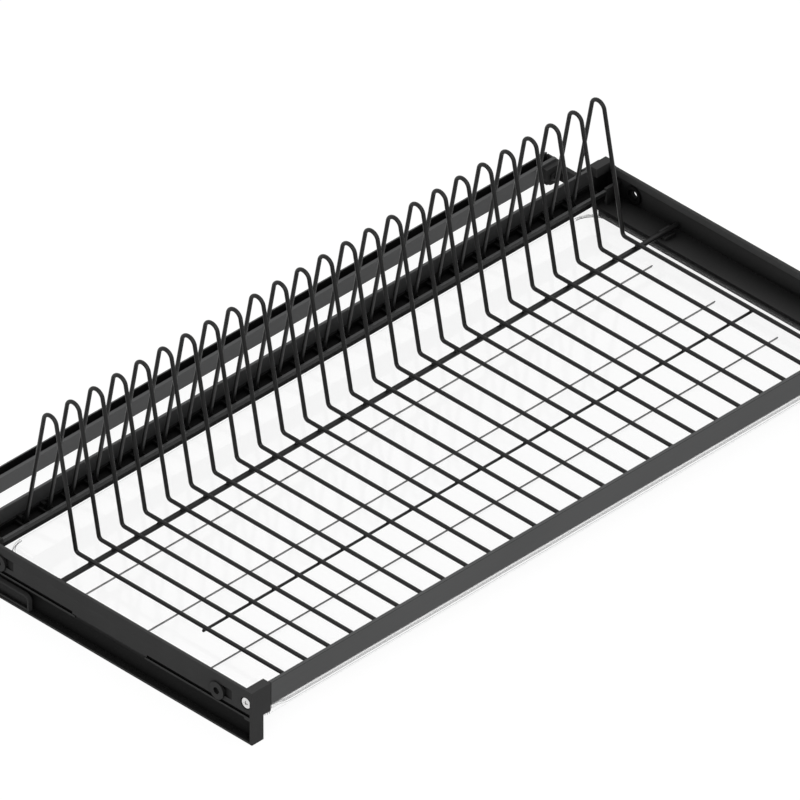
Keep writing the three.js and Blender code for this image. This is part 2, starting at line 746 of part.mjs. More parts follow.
function railArm() {
  const { inset, thick, rim, rimDepth } = arm;
  const inner = inset + thick;
  const slotHalf = clampScrew.shankRadius + slideGap;
  const shaft = join([extrudeX(armOutline(0), inset, inner), ...armHead()]);
  const dish = extrudeX(armOutline(rim), inset - cutOver, inset + rimDepth);
  const slotThrough = [inset, inner + cutOver];
  const reach = arm.travel + slotHalf;
  const slotEnd = [-arm.travel, arm.travel].map((way) => roundX(slotHalf, ...slotThrough,
    clampY + way, clampZ));
  const slot = block(slotThrough, [clampY - reach + slotHalf, clampY + reach - slotHalf],
    [clampZ - slotHalf, clampZ + slotHalf]);
  const screwHole = roundY(railScrew.shankRadius + seatGap, railFront - arm.headThick - cutOver,
    railFront, railScrew.inset, railScrewZ);
  return carve(shaft, [dish, slot, ...slotEnd, screwHole]).translate(outerPlane, 0, 0);
}

// Materials

const finish = {
  plastic: { color: 0x2c2c2d, roughness: 0.62, metalness: 0 },
  aluminium: { color: 0x47484a, roughness: 0.42, metalness: 0.6 },
  wire: { color: 0x232324, roughness: 0.4, metalness: 0.1 },
  clear: { color: 0xeef2f3, roughness: 0.08, metalness: 0, transparent: true, opacity: 0.28 },
  steel: { color: 0xc9cacb, roughness: 0.28, metalness: 0.9 },
  blackSteel: { color: 0x262627, roughness: 0.4, metalness: 0.4 },
};

const assembly = new THREE.Group();
assembly.position.y = -railRear / 2;

function place(name, geometry, look) {
  const mesh = new THREE.Mesh(geometry, new THREE.MeshStandardMaterial(finish[look]));
  mesh.name = name;
  assembly.add(mesh);
}

function placePair(name, geometry, look) {
  place(`${name}_left`, geometry, look);
  place(`${name}_right`, mirrored(geometry), look);
}

// A screw turned to drive inwards along X, its seat at the given place.
function sideScrew(size, length, seat, y, z) {
  return screwGeometry(size, length).rotateY(-Math.PI / 2).translate(outerPlane + seat, y, z);
}

function railScrewInPlace() {
  const seat = railFront - seatGap - arm.headThick - seatGap;
  return screwGeometry(railScrew, railScrew.length).rotateX(Math.PI / 2)
    .translate(outerPlane + railScrew.inset, seat, railScrewZ);
}

placePair('side_panel', sidePanel(), 'plastic');
place('front_profile', frontProfile(), 'aluminium');
place('rear_bar', rearProfile(), 'aluminium');
place('socket_strip', socketStrip(), 'plastic');

const barScrewSeat = barScrew.pocketDepth - seatGap;
placePair('front_bar_screw',
  sideScrew(barScrew, barScrew.length, barScrewSeat, frontScrewY, frontScrewZ), 'steel');
placePair('rear_bar_screw',
  sideScrew(barScrew, barScrew.length, barScrewSeat, rearScrewY, rearScrewZ), 'steel');

const clampSeat = arm.inset + arm.rimDepth - seatGap;
const clampReach = lowerWallInner + clampScrew.bossRise - clampSeat;
placePair('arm_clamp_screw',
  sideScrew(clampScrew, clampReach, clampSeat, clampY, clampZ), 'steel');

placePair('rail_arm', railArm(), 'plastic');
place('rear_rail', rearRail(), 'aluminium');
placePair('rail_screw', railScrewInPlace(), 'blackSteel');

for (let i = 0; i < wireCount; i += 1) {
  const number = String(i + 1).padStart(2, '0');
  place(`rack_wire_${number}`, tube(wirePath(wireX(i)), rack.wireRadius), 'wire');
}
place('support_rod', supportRod(), 'wire');
place('cross_wire', crossWire(), 'wire');

place('drip_tray', dripTray(), 'clear');

const group = new THREE.Group();
group.add(assembly);

export default group;
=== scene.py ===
import math

import bmesh
import bpy
from mathutils import Matrix, Vector


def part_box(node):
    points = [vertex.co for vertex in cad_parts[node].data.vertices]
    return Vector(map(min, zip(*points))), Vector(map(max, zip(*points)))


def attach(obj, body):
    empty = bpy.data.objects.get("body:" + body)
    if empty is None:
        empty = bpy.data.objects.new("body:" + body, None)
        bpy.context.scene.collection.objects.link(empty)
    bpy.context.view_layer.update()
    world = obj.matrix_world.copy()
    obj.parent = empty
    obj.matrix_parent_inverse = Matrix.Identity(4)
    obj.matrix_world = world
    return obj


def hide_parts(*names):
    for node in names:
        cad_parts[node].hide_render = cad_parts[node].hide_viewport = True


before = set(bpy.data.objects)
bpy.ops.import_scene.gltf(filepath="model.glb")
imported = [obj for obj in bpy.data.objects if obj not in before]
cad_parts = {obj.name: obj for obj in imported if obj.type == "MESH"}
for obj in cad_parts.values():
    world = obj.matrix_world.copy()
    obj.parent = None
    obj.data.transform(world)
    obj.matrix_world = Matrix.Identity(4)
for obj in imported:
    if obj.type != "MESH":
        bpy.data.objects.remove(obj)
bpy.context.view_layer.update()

SCENE = bpy.context.scene
SCENE.view_settings.view_transform = "Standard"

# Sizes are in millimetres unless they say metres. In the part's own millimetres x runs from the
# middle, y from the front plane to the back and z from the floor, as in the part's source.
MM = 0.001
FRONT_Y = -150.0  # the front plane, in the frame's millimetres

# The rack.
WIRE_RADIUS = 1.4
WIRE_PITCH = 20.1
WIRE_COUNT = 25
WIRE_FRONT = 10.3
WIRE_Z = 28.6
LOOP_Y = 216.7
LOOP_TOP = 121.15  # 0.25 under the source's, so that the smooth round top stays in its box
LOOP_RADIUS = 5.6
LOOP_CENTRE = LOOP_TOP - LOOP_RADIUS
BEND_RADIUS = 3.0
FOOT_Y = 239.34
FOOT_Z = 27.0
ROD_RADIUS = 1.8
ROD_Y = 182.0
ROD_Z = 25.1
CROSS_RADIUS = 0.95
CROSS_Y = 81.9
CROSS_Z = 25.95

# A weld: its half width as a share of the thinner bar's radius, its half length as a share of
# that, and its half height.
WELD_WIDTH = 0.95
WELD_LENGTH = 1.15
WELD_HEIGHT = 0.75

# The fixing bosses: their centres, and how far from them the painted shade on the bore and on the
# inner ring reaches.
BOSS_YS = (30.2, 222.2)
BOSS_Z = 27.2
BORE_REACH = 2.6
RING_REACH = 6.5

# The rear bar. Of its faces under LIP_TOP that look forward, the lip's lies before LIP_END and
# the trough wall's lies between there and WALL_END. Both take painted shade.
LIP_TOP = 31.2
LIP_END = 234
WALL_END = 236

# The tray. Its floor's upper face is at TRAY_FLOOR.
TRAY_FLOOR = 9.2
RIB_TOP = 10.0
RIB_SHARE = 0.55  # a rib's width here, as a share of the solid's: the photo shows hairlines
RIB_ROW = 10      # vertices whose y rounds to the same step of this belong to one rib
RIB_ZONE = 1.0    # half of the strip round a rib's middle that moves with it
LEVEL_GAP = 0.1   # how far from its height a vertex may lie
RIM_LOW = 14.0    # the rim is what lies higher
SIDE_RIM = 8.0    # how wide the rim is at the sides
LONG_EDGE = 50    # a rear edge longer than this stays sharp, and so unseen

# Screws: head radius, head height, shank radius, then the cross's reach, width and depth.
BAR_SCREW = (4.0, 2.2, 1.7, (2.1, 0.9, 1.2))
CLAMP_SCREW = (3.4, 1.2, 1.7, (1.9, 0.8, 0.7))
RAIL_SCREW = (2.7, 1.8, 1.4, (1.6, 0.7, 1.0))
CLAMP_NECK = 1.25   # from the top of a clamp screw's head to where its shank is painted dark as shade
THREAD_PITCH = 1.1
THREAD_ROOT = 0.86  # the thread's root, as a share of the shank's radius
CROSS_TAPER = 0.62  # the cross's size at its bottom, as a share of its size in the head's face
CUTTER_RISE = 0.4   # how far the cross's cutter stands out of the head
SCREW_SIDES = 40

# The domed end of a bar: widths and heights of its rings as shares, and how far the dome reaches
# as a share of the bar's radius.
DOME = ((1.0, 0.0), (0.93, 0.45), (0.72, 0.8), (0.38, 0.97))
DOME_REACH = 0.45

# Edge radii, and the angle in degrees from which an edge between two faces is rounded.
PLASTIC_EDGE = 0.25
ARM_EDGE = 0.35
METAL_EDGE = 0.2
FRONT_EDGE = 0.35
STRIP_EDGE = 0.15
CREASE = 34.0

# Material slots of a piece's faces that take a painted tone: its rounded edges and the tray's rim.
EDGE_SLOT = 1
RIM_SLOT = 2

# Painted shade in hollows: the tone's share left in the deepest hollow, and the openness at
# which the tone is at its darkest and at its plain value.
DEEPEST = 0.05
CLOSED, OPEN = 0.45, 0.98

CLEAR_IOR = 1.46


# ---------------------------------------------------------------- node trees

class Nodes:
    """Short names for building the node tree of a material or a world."""

    def __init__(self, owner, output="ShaderNodeOutputMaterial"):
        self.owner = owner
        owner.use_nodes = True
        self.tree = owner.node_tree
        self.tree.nodes.clear()
        self.out = self.add(output)

    def add(self, kind, **settings):
        node = self.tree.nodes.new(kind)
        for key, value in settings.items():
            setattr(node, key, value)
        return node

    def link(self, source, target):
        self.tree.links.new(source, target)

    def place(self, scale=(1, 1, 1)):
        coords = self.add("ShaderNodeTexCoord")
        mapping = self.add("ShaderNodeMapping")
        mapping.inputs["Scale"].default_value = scale
        self.link(coords.outputs["Object"], mapping.inputs["Vector"])
        return mapping.outputs["Vector"]

    def noise(self, vector, scale, detail=2.0, rough=0.5):
        node = self.add("ShaderNodeTexNoise")
        node.inputs["Scale"].default_value = scale
        node.inputs["Detail"].default_value = detail
        node.inputs["Roughness"].default_value = rough
        self.link(vector, node.inputs["Vector"])
        return node.outputs["Fac"]

    def spread(self, value, low, high, source=(0.3, 0.7)):
        node = self.add("ShaderNodeMapRange")
        ends = (("From Min", source[0]), ("From Max", source[1]), ("To Min", low), ("To Max", high))
        for key, end in ends:
            node.inputs[key].default_value = end
        self.link(value, node.inputs["Value"])
        return node.outputs["Result"]

    def colours(self, value, first, second):
        node = self.add("ShaderNodeMix", data_type="RGBA")
        node.inputs["A"].default_value = (*first, 1)
        node.inputs["B"].default_value = (*second, 1)
        self.link(value, node.inputs["Factor"])
        return node.outputs["Result"]

    def uneven(self, dark, light, noise):
        return self.colours(self.spread(noise, 0.0, 1.0), dark, light)

    def painted_hollow_shade(self, tone, reach):
        """The same tone with painted shade: darker in the piece's own grooves and corners, where
        shade falls.
        """
        hollow = self.add("ShaderNodeAmbientOcclusion", samples=5, only_local=True)
        hollow.inputs["Distance"].default_value = reach * MM
        open_share = self.spread(hollow.outputs["AO"], DEEPEST, 1.0, (CLOSED, OPEN))
        mix = self.add("ShaderNodeMix", data_type="RGBA", blend_type="MULTIPLY")
        mix.inputs["Factor"].default_value = 1.0
        self.link(tone, mix.inputs["A"])
        self.link(open_share, mix.inputs["B"])
        return mix.outputs["Result"]

    def bump(self, height, distance, strength=1.0, under=None):
        node = self.add("ShaderNodeBump")
        node.inputs["Distance"].default_value = distance
        node.inputs["Strength"].default_value = strength
        self.link(height, node.inputs["Height"])
        if under is not None:
            self.link(under, node.inputs["Normal"])
        return node.outputs["Normal"]

    def math(self, operation, first, second, clamp=False):
        """The operation's result. Each operand is a socket or a float."""
        node = self.add("ShaderNodeMath", operation=operation, use_clamp=clamp)
        for slot, value in enumerate((first, second)):
            if isinstance(value, float):
                node.inputs[slot].default_value = value
            else:
                self.link(value, node.inputs[slot])
        return node.outputs[0]

    def principled(self, colour, rough, normal, **plain):
        node = self.add("ShaderNodeBsdfPrincipled")
        for key, value in plain.items():
            node.inputs[key.replace("_", " ")].default_value = value
        for key, source in (("Base Color", colour), ("Roughness", rough), ("Normal", normal)):
            self.link(source, node.inputs[key])
        return node

    def mixed(self, share, first, second):
        mix = self.add("ShaderNodeMixShader")
        self.link(share, mix.inputs["Fac"])
        self.link(first.outputs[0], mix.inputs[1])
        self.link(second.outputs[0], mix.inputs[2])
        return mix

    def seen(self):
        """1 where a camera, glossy or transmission ray looks, 0 where light is gathered."""
        path = self.add("ShaderNodeLightPath")
        direct = self.math("MAXIMUM", path.outputs["Is Camera Ray"], path.outputs["Is Glossy Ray"])
        return self.math("MAXIMUM", direct, path.outputs["Is Transmission Ray"])

    def finish(self, shader):
        self.link(shader.outputs[0], self.out.inputs["Surface"])
        return self.owner


def material_nodes(name):
    return Nodes(bpy.data.materials.new(name))


def grey(value, warm=0.0):
    return (value * (1 + warm), value, value * (1 - warm))


# ---------------------------------------------------------------- materials

def moulded_plastic(name, dark, light, grain=2600.0):
    """Matt black plastic: a fine spark-eroded grain and a faint unevenness of gloss, with painted
    shade in its grooves and corners.
    """
    n = material_nodes(name)
    here = n.place()
    fine = n.noise(here, grain, detail=3.0, rough=0.6)
    broad = n.noise(here, 18.0, detail=4.0, rough=0.55)
    tone = n.painted_hollow_shade(n.uneven(grey(dark), grey(light), broad), reach=24.0)
    rough = n.spread(n.noise(here, 60.0, detail=5.0, rough=0.6), 0.54, 0.64)
    flow = n.bump(n.noise(here, 9.0, detail=1.0), 0.0006, 0.12)
    normal = n.bump(fine, 0.00006, 0.30, under=flow)
    return n.finish(n.principled(tone, rough, normal, Specular_IOR_Level=0.07))


def anodised(name, dark, light):
    """Dark satin anodised aluminium: die lines run along the extrusion, with painted shade in its
    grooves and corners.
    """
    n = material_nodes(name)
    lines = n.place(scale=(0.02, 1.0, 1.0))
    here = n.place()
    die = n.noise(lines, 900.0, detail=4.0, rough=0.65)
    broad = n.noise(here, 12.0, detail=3.0)
    tone = n.painted_hollow_shade(n.uneven(grey(dark, -0.01), grey(light, -0.01), broad), reach=10.0)
    rough = n.spread(die, 0.36, 0.46)
    satin = n.bump(n.noise(here, 5200.0), 0.00002, 0.15)
    normal = n.bump(die, 0.00004, 0.22, under=satin)
    return n.finish(n.principled(tone, rough, normal, Metallic=0.35, Specular_IOR_Level=0.3))


def coated_wire(name, dark, light, gloss=0.3):
    """Dark baked coating on steel wire: satin, with the slight waviness of a dipped film."""
    n = material_nodes(name)
    here = n.place()
    tone = n.uneven(grey(dark), grey(light), n.noise(here, 40.0, detail=3.0))
    rough = n.spread(n.noise(here, 160.0, detail=3.0), 0.34, 0.44)
    film = n.bump(n.noise(here, 700.0), 0.00008, 0.16)
    return n.finish(n.principled(tone, rough, film, Specular_IOR_Level=gloss))


def plated_steel(name):
    """Bright zinc-plated steel with faint turning marks."""
    n = material_nodes(name)
    here = n.place()
    tone = n.uneven(grey(0.62), grey(0.74, 0.01), n.noise(here, 420.0, detail=3.0))
    rough = n.spread(n.noise(here, 1500.0, detail=3.0), 0.20, 0.34)
    normal = n.bump(n.noise(here, 4200.0), 0.00003, 0.2)
    return n.finish(n.principled(tone, rough, normal, Metallic=1.0))


def clear_plastic(name, shade, cover, gloss):
    """Clear plastic. What lies under it shows through straight, with more gloss at a slant.

    The gloss is left off the inner faces, which would reflect everything, and off shadow rays.
    """
    n = material_nodes(name)
    here = n.place()
    tone = n.colours(n.noise(here, 6.0), grey(shade), grey(shade * 1.04))
    rough = n.spread(n.noise(here, 25.0, detail=3.0), 0.04, 0.09)
    wave = n.bump(n.noise(here, 11.0), 0.0003, 0.06)
    body = n.principled(tone, rough, wave, Alpha=cover, Specular_IOR_Level=0.5, IOR=CLEAR_IOR)
    shine = n.add("ShaderNodeBsdfGlossy")
    n.link(rough, shine.inputs["Roughness"])
    n.link(wave, shine.inputs["Normal"])
    slant = n.add("ShaderNodeFresnel")
    slant.inputs["IOR"].default_value = CLEAR_IOR
    n.link(wave, slant.inputs["Normal"])
    inner = n.add("ShaderNodeNewGeometry").outputs["Backfacing"]
    shadow = n.add("ShaderNodeLightPath").outputs["Is Shadow Ray"]
    lit = n.math("SUBTRACT", n.math("SUBTRACT", gloss, inner), shadow)
    share = n.math("MULTIPLY", lit, slant.outputs["Fac"], clamp=True)
    return n.finish(n.mixed(share, body, shine))


# Each pair of numbers is the darkest and the lightest tone of a slightly uneven finish.
PLASTIC = moulded_plastic("black_plastic_grain", 0.0535, 0.0585)
STRIP_PLASTIC = moulded_plastic("strip_plastic_grain", 0.008, 0.010)
ARM_PLASTIC = moulded_plastic("arm_plastic_grain", 0.0440, 0.0490, grain=2000.0)
ALUMINIUM = anodised("dark_anodised", 0.072, 0.082)
WIRE = coated_wire("coated_wire_film", 0.0068, 0.0094)
# Painted shade, near black: put where shade falls deepest, in slits, bores, pockets, under the
# ledge and in the trough.
PAINTED_SHADE_PLASTIC = moulded_plastic("painted_shade_edge_grain", 0.0035, 0.0050)
# Painted shade: the lower wall and the panels' other half-shaded faces, drawn darker than the
# plastic.
LOWER_SHADE_PLASTIC = moulded_plastic("lower_wall_painted_shade", 0.0148, 0.0184)
# Painted light: the top lip's inner face, drawn lighter where light falls on it.
LIP_LIGHT_PLASTIC = moulded_plastic("lip_painted_light", 0.088, 0.095)
# Painted shade: the ledge's top, drawn a little darker than the plastic.
LEDGE_SHADE_PLASTIC = moulded_plastic("ledge_painted_shade", 0.040, 0.045)
# Painted shade on metal: the rear bar's lip and the front bar's rounded edges, drawn dark.
PAINTED_SHADE_METAL = anodised("painted_shade_anodised", 0.016, 0.020)
STEEL = plated_steel("plated_steel_bright")
# Blackened steel on the rail screws. On the clamp screws' shanks it is painted shade.
BLACK_STEEL_AND_PAINTED_SHADE = coated_wire("blackened_steel_and_painted_shade", 0.006, 0.009, gloss=0.15)
CLEAR = clear_plastic("clear_tray_plastic", shade=0.90, cover=0.02, gloss=0.8)
# Painted shade: dark lines on the tray's rounded edges and ribs, where clear plastic bends the
# light.
CLEAR_EDGE_PAINTED_SHADE = clear_plastic("clear_tray_painted_edge_shade", shade=0.07, cover=0.88, gloss=0.5)
# Painted sheen: a pale sheet on the side rim's tops, for the light the clear rim bends and
# reflects.
CLEAR_RIM_PAINTED_SHEEN = clear_plastic("clear_tray_rim_painted_sheen", shade=0.80, cover=0.60, gloss=0.5)


# ---------------------------------------------------------------- making pieces

def finish_piece(obj, body, material, nodes=()):
    obj.data.materials.clear()
    obj.data.materials.append(material)
    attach(obj, body)
    if nodes:
        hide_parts(*nodes)
    return obj


def object_from(name, bm):
    mesh = bpy.data.meshes.new(name)
    bm.to_mesh(mesh)
    bm.free()
    obj = bpy.data.objects.new(name, mesh)
    SCENE.collection.objects.link(obj)
    return obj


def smooth(obj, degrees):
    obj.data.polygons.foreach_set("use_smooth", [True] * len(obj.data.polygons))
    obj.data.set_sharp_from_angle(angle=math.radians(degrees))


def place_mm(x, y, z):
    """A place in the part's own millimetres, in the frame's metres."""
    return Vector((x * MM, (y + FRONT_Y) * MM, z * MM))


def dressed(name, node, body, material, edge):
    """A copy of a node's solid with its edges rounded and its curves shaded smooth."""
    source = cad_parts[node]
    bm = bmesh.new()
    bm.from_mesh(source.data)
    bmesh.ops.remove_doubles(bm, verts=bm.verts, dist=0.00001)
    bmesh.ops.dissolve_limit(bm, angle_limit=math.radians(0.5), verts=bm.verts, edges=bm.edges)
    obj = object_from(name, bm)
    obj.matrix_world = source.matrix_world.copy()
    smooth(obj, CREASE)
    bevel = obj.modifiers.new("edges", "BEVEL")
    bevel.width = edge * MM
    bevel.segments = 2
    bevel.limit_method = "ANGLE"
    bevel.angle_limit = math.radians(CREASE)
    bevel.harden_normals = True
    bevel.use_clamp_overlap = True
    bevel.miter_outer = "MITER_SHARP"
    return finish_piece(obj, body, material, [node])


# ---------------------------------------------------------------- painted light and shade

ALL = (-math.inf, math.inf)


# Which way a face looks. x counts outward on both sides.

def inward(normal):
    return normal.x < -0.9


def outward(normal):
    return normal.x > 0.5


def sideways(normal):
    return abs(normal.x) < 0.3


def upward(normal):
    return normal.z > 0.9


def forward(normal):
    return normal.y < -0.9


def near_boss(centre, reach):
    return any(math.hypot(centre.y - y, centre.z - BOSS_Z) < reach for y in BOSS_YS)


def region(x=ALL, y=ALL, z=ALL, facing=None, boss=None):
    """A test of a face: where its centre lies, which way it looks, how near a boss it is."""
    def holds(centre, normal):
        if not all(low <= value <= high for value, (low, high) in zip(centre, (x, y, z))):
            return False
        if facing and not facing(normal):
            return False
        return boss is None or near_boss(centre, boss)
    return holds


def paint_light_and_shade(obj, material, regions, way=1):
    """Give the faces in any of the regions a second material that paints light and shade on them. x
    counts outward, to side way.
    """
    obj.data.materials.append(material)
    for face in obj.data.polygons:
        centre = face.center / MM
        centre = Vector((centre.x * way, centre.y - FRONT_Y, centre.z))
        normal = Vector((face.normal.x * way, face.normal.y, face.normal.z))
        if any(holds(centre, normal) for holds in regions):
            face.material_index = len(obj.data.materials) - 1


# Each painted tone of light and shade with the regions that take it. A later one covers an earlier
# one.
POCKET_Z = (25.9, 33.1)
PANEL_PAINTED_LIGHT = (
    (PAINTED_SHADE_PLASTIC, (
        # painted shade, near black: the ledge's inner edge, the slits, the pockets' floors and the
        # bosses' bores
        region(x=(258, 263), z=(14, 20), facing=inward),
        region(x=(279.8, 280.9), z=(20.0, 22.31)),
        region(x=(279.8, 280.0), z=POCKET_Z),
        region(x=(277.5, math.inf), facing=sideways, boss=BORE_REACH),
    )),
    (LOWER_SHADE_PLASTIC, (
        # painted shade: the lower wall, the pockets' ramps and the bosses' rings inside
        region(x=(274.2, 280.9), y=(2.2, math.inf), z=(-math.inf, 18.6), facing=outward),
        region(x=(280.0, 280.9), y=(9, math.inf), z=POCKET_Z),
        region(x=(277.5, 279.35), boss=RING_REACH),
    )),
    (LEDGE_SHADE_PLASTIC, (
        # painted shade, a little darker: the ledge's top
        region(x=(258, 279.5), z=(19.5, 20.5), facing=upward),
    )),
    (LIP_LIGHT_PLASTIC, (
        # painted light: the inner face of the wall's top lip, drawn lighter
        region(x=(274, math.inf), y=(8, 245), z=(34.6, 39.5), facing=inward),
    )),
)
REAR_PAINTED_SHADE = (
    # Painted shade on the forward faces under the lip's top.
    (PAINTED_SHADE_METAL, (region(y=(-math.inf, LIP_END), z=(-math.inf, LIP_TOP), facing=forward),)),
    (PAINTED_SHADE_PLASTIC, (region(y=(LIP_END, WALL_END), z=(-math.inf, LIP_TOP), facing=forward),)),
)


# ---------------------------------------------------------------- the rack

def arc(cy, cz, radius, start, end, steps):
    points = []
    for i in range(steps + 1):
        a = math.radians(start + (end - start) * i / steps)
        points.append((cy + radius * math.cos(a), cz + radius * math.sin(a)))
    return points


def wire_route():
    """The wire from its front end: level, a bend up, the round top and the leg to its foot."""
    out, down = FOOT_Y - LOOP_Y, LOOP_CENTRE - FOOT_Z
    lean = math.atan2(out, down) - math.asin(LOOP_RADIUS / math.hypot(out, down))
    front_leg = LOOP_Y - (LOOP_RADIUS - math.sin(lean) * (WIRE_Z - LOOP_CENTRE)) / math.cos(lean)
    bend = front_leg - BEND_RADIUS * math.tan((math.pi / 2 - lean) / 2)
    lean = math.degrees(lean)
    return [
        (WIRE_FRONT, WIRE_Z),
        *arc(bend, WIRE_Z + BEND_RADIUS, BEND_RADIUS, -90, -lean, 10),
        *arc(LOOP_Y, LOOP_CENTRE, LOOP_RADIUS, 180 - lean, lean, 24),
        (FOOT_Y, FOOT_Z),
    ]


def tube(points, radius, sides=20):
    """A round bar along points, its two ends slightly domed, as sheared and tumbled wire is."""
    last = len(points) - 1
    rings = []
    for i, point in enumerate(points):
        before = (point - points[i - 1]).normalized() if i else None
        after = (points[i + 1] - point).normalized() if i < last else None
        along = ((before or after) + (after or before)).normalized()
        rings.append((point, along, 1.0))

    def dome(end, way):
        point, along, _ = end
        return [(point + along * way * (1 - up) * radius * DOME_REACH, along, across)
                for across, up in DOME]

    loops = []
    bm = bmesh.new()
    side = Vector((1, 0, 0)) if abs(rings[0][1].x) < 0.5 else Vector((0, 1, 0))
    for point, along, share in dome(rings[0], 1)[::-1] + rings[1:-1] + dome(rings[-1], -1):
        across = (side - along * side.dot(along)).normalized()
        over = along.cross(across)
        loop = []
        for k in range(sides):
            a = 2 * math.pi * k / sides
            offset = across * math.cos(a) + over * math.sin(a)
            loop.append(bm.verts.new(point + offset * radius * share))
        loops.append(loop)
    skin(bm, loops)
    bm.faces.new(list(reversed(loops[0])))
    bm.faces.new(loops[-1])
    bmesh.ops.recalc_face_normals(bm, faces=bm.faces)
    return bm


def skin(bm, loops):
    """Faces between rings of vertices. A ring of one vertex closes an end."""
    sides = max(len(loop) for loop in loops)
    for a, b in zip(loops, loops[1:]):
        for k in range(sides):
            j = (k + 1) % sides
            if len(a) == 1:
                bm.faces.new((a[0], b[j], b[k]))
            elif len(b) == 1:
                bm.faces.new((a[k], a[j], b[0]))
            else:
                bm.faces.new((a[k], a[j], b[j], b[k]))


def wire_x(i):
    return (i - (WIRE_COUNT - 1) / 2) * WIRE_PITCH


def make_rack():
    for i in range(WIRE_COUNT):
        route = [place_mm(wire_x(i), y, z) for y, z in wire_route()]
        wire = object_from(f"wire_{i + 1:02d}", tube(route, WIRE_RADIUS * MM))
        smooth(wire, degrees=50)
        finish_piece(wire, "rack", WIRE, [f"rack_wire_{i + 1:02d}"])
    for name, node, y, z, radius in (
        ("rod_smooth", "support_rod", ROD_Y, ROD_Z, ROD_RADIUS),
        ("cross_smooth", "cross_wire", CROSS_Y, CROSS_Z, CROSS_RADIUS),
    ):
        low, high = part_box(node)
        route = [Vector((x, (y + FRONT_Y) * MM, z * MM)) for x in (low[0], 0, high[0])]
        bar = object_from(name, tube(route, radius * MM, sides=24))
        smooth(bar, degrees=50)
        finish_piece(bar, "rack", WIRE, [node])


def make_welds():
    """The welds where each wire crosses the rod and the thin wire: low saddles of metal."""
    bm = bmesh.new()
    for i in range(WIRE_COUNT):
        for y, z, radius in ((ROD_Y, ROD_Z, ROD_RADIUS), (CROSS_Y, CROSS_Z, CROSS_RADIUS)):
            spot = place_mm(wire_x(i), y, (z + radius + WIRE_Z - WIRE_RADIUS) / 2)
            wide = min(radius, WIRE_RADIUS) * WELD_WIDTH
            made = bmesh.ops.create_uvsphere(bm, u_segments=16, v_segments=8, radius=1.0)
            for v in made["verts"]:
                size = (v.co.x * wide * WELD_LENGTH, v.co.y * wide, v.co.z * WELD_HEIGHT)
                v.co = Vector(size) * MM + spot
    welds = object_from("rack_welds", bm)
    smooth(welds, degrees=60)
    finish_piece(welds, "rack", WIRE)


# ---------------------------------------------------------------- screws

def screw_profile(head_radius, head_height, shank_radius, length):
    """Radius and height of a screw's outline in metres, from its tip to the top of its head."""
    head, tall, shank = head_radius * MM, head_height * MM, shank_radius * MM
    # the blunt tip
    profile = [(0.0, -length), (shank * 0.55, -length),
               (shank * 0.8, -length + shank * 0.6), (shank, -length + shank)]
    # the thread, as separate rings
    turns = int((length - 3 * shank) / (THREAD_PITCH * MM))
    for k in range(max(turns, 0)):
        base = -length + shank + k * THREAD_PITCH * MM
        profile += [(shank * THREAD_ROOT, base + 0.35 * MM), (shank, base + 0.55 * MM),
                    (shank * THREAD_ROOT, base + 0.75 * MM)]
    # the neck, the head's underside and its round top
    profile += [(shank * 0.9, 0.0), (head * 0.97, 0.0), (head, 0.08 * MM)]
    steps = 8
    for k in range(1, steps):
        a = math.pi / 2 * k / steps
        profile.append((head * math.cos(a) ** 0.35, (0.62 + 0.38 * math.sin(a)) * tall))
    return profile + [(0.0, tall)]


def turned(name, profile):
    """The solid that a profile makes round the z axis."""
    bm = bmesh.new()
    loops = []
    turns = [2 * math.pi * k / SCREW_SIDES for k in range(SCREW_SIDES)]
    for across, up in profile:
        if across == 0.0:
            loops.append([bm.verts.new((0, 0, up))])
        else:
            loops.append([bm.verts.new((across * math.cos(a), across * math.sin(a), up))
                          for a in turns])
    skin(bm, loops)
    bmesh.ops.recalc_face_normals(bm, faces=bm.faces)
    return object_from(name, bm)


def cross_cutter(name, head_height, cross):
    """Two crossed wedges, narrower at their lower end, that cut the recess in a screw's head."""
    reach, width, depth = (size * MM for size in cross)
    bm = bmesh.new()
    for turn in (0, 1):
        made = bmesh.ops.create_cube(bm, size=1.0)
        for v in made["verts"]:
            share, height = (1.0, CUTTER_RISE * MM) if v.co.z > 0 else (CROSS_TAPER, -depth)
            x, y = v.co.x * 2 * reach * share, v.co.y * width * share
            if turn:
                x, y = -y, x
            v.co = Vector((x, y, head_height * MM + height))
    return object_from(name, bm)


def screw(name, node, body, axis, sizes, material=STEEL):
    """A pan-head screw with a cross recess in a node's place. axis points out of its head."""
    head_radius, head_height, shank_radius, cross = sizes
    low, high = (Vector(corner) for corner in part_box(node))
    axis = Vector(axis)
    span = abs((high - low).dot(axis))
    seat = (low + high) / 2 + axis * (span / 2 - head_height * MM)
    length = span - head_height * MM
    made = turned(name, screw_profile(head_radius, head_height, shank_radius, length))
    cutter = cross_cutter(name + "_cut", head_height, cross)
    cut = made.modifiers.new("recess", "BOOLEAN")
    cut.object = cutter
    cut.solver = "EXACT"
    cut.use_self = True
    graph = bpy.context.evaluated_depsgraph_get()
    recessed = bpy.data.meshes.new_from_object(made.evaluated_get(graph))
    made.modifiers.clear()
    made.data = recessed
    bpy.data.objects.remove(cutter)
    turn = Vector((0, 0, 1)).rotation_difference(axis).to_matrix().to_4x4()
    made.data.transform(Matrix.Translation(seat) @ turn)
    smooth(made, degrees=35)
    return finish_piece(made, body, material, [node])


